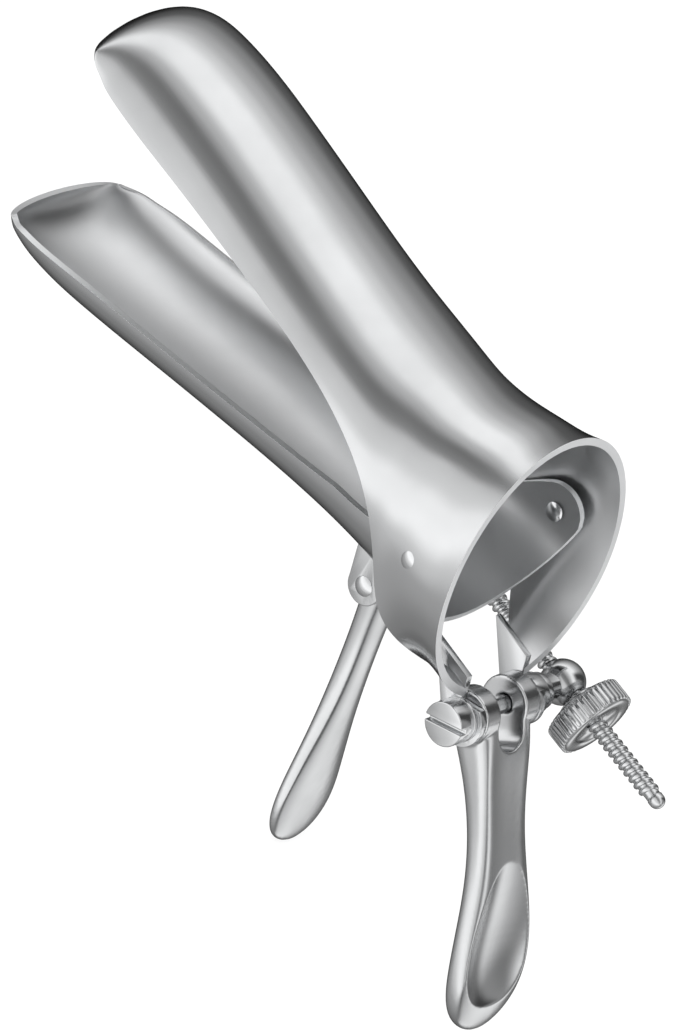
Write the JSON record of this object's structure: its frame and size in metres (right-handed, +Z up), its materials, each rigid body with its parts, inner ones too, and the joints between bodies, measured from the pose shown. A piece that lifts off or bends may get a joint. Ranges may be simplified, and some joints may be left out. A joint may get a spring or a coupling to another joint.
{
  "type": "bivalve speculum",
  "caption": "Bivalve speculum: two long trough blades hinged in a flared collar, folding finger levers, and a side rod with a knurled nut that holds the opening.",
  "frame": {"origin": "midway between the two rivets that join the valves, on their common axis", "axes": "+X to the instrument's right, the side of the threaded rod; +Y forward along the upper blade; +Z up, away from the handles"},
  "size_m": [0.0468, 0.1519, 0.0911],
  "materials": {
    "valve_steel": "polished sheet",
    "forged_steel": "polished forging",
    "rivet_steel": "polished rivet heads",
    "turned_steel": "turned and polished",
    "thread_steel": "cut thread, bright",
    "nut_steel": "knurled and polished"
  },
  "bodies": {
    "upper_valve_group": {"upper_valve": "valve_steel", "left_valve_rivet": "rivet_steel", "right_valve_rivet": "rivet_steel", "left_collar_lug": "valve_steel", "right_collar_lug": "valve_steel", "hinge_screw": "turned_steel", "screw_washer": "turned_steel", "lock_ring": "turned_steel"},
    "lower_valve_group": {"lower_valve": "valve_steel", "left_lever_cheek": "valve_steel", "right_lever_cheek": "valve_steel", "lever_pin": "rivet_steel", "rod_spacer": "turned_steel"},
    "rear_handle_group": {"rear_handle": "forged_steel"},
    "front_lever_group": {"front_lever": "forged_steel"},
    "rod_group": {"rod_eye": "turned_steel", "threaded_rod": "thread_steel", "rod_stop": "thread_steel"},
    "swivel_group": {"swivel_post": "turned_steel"},
    "nut_group": {"knurled_nut": "nut_steel"}
  },
  "joints": [
    {"name": "valve_opening", "type": "hinge", "parent": "upper_valve_group", "child": "lower_valve_group", "pos_m": [0, 0, 0], "axis": [-1, 0, 0], "range_deg": [-17, 10]},
    {"name": "lever_fold", "type": "hinge", "parent": "lower_valve_group", "child": "front_lever_group", "pos_m": [0, 0.0071, -0.02089], "axis": [1, 0, 0], "range_deg": [0, 80]},
    {"name": "handle_fold", "type": "hinge", "parent": "upper_valve_group", "child": "rear_handle_group", "pos_m": [0, -0.0194, -0.0197], "axis": [-1, 0, 0], "range_deg": [0, 100]},
    {"name": "rod_swing", "type": "hinge", "parent": "lower_valve_group", "child": "rod_group", "pos_m": [0.0184, 0.0071, -0.02089], "axis": [-1, 0, 0], "range_deg": [-8, 13]},
    {"name": "post_swivel", "type": "hinge", "parent": "upper_valve_group", "child": "swivel_group", "pos_m": [0.0184, -0.0194, -0.0197], "axis": [-1, 0, 0], "range_deg": [-6, 4]},
    {"name": "nut_spin", "type": "hinge", "parent": "swivel_group", "child": "nut_group", "pos_m": [0.0184, -0.0194, -0.0197], "axis": [0, -0.999, 0.0448], "range_deg": [-1540, 910]}
  ],
  "couplings": [
    {"joint": "rod_swing", "follows": "valve_opening", "ratio": -0.705},
    {"joint": "post_swivel", "follows": "valve_opening", "ratio": 0.295},
    {"joint": "nut_spin", "follows": "valve_opening", "ratio": 90}
  ]
}
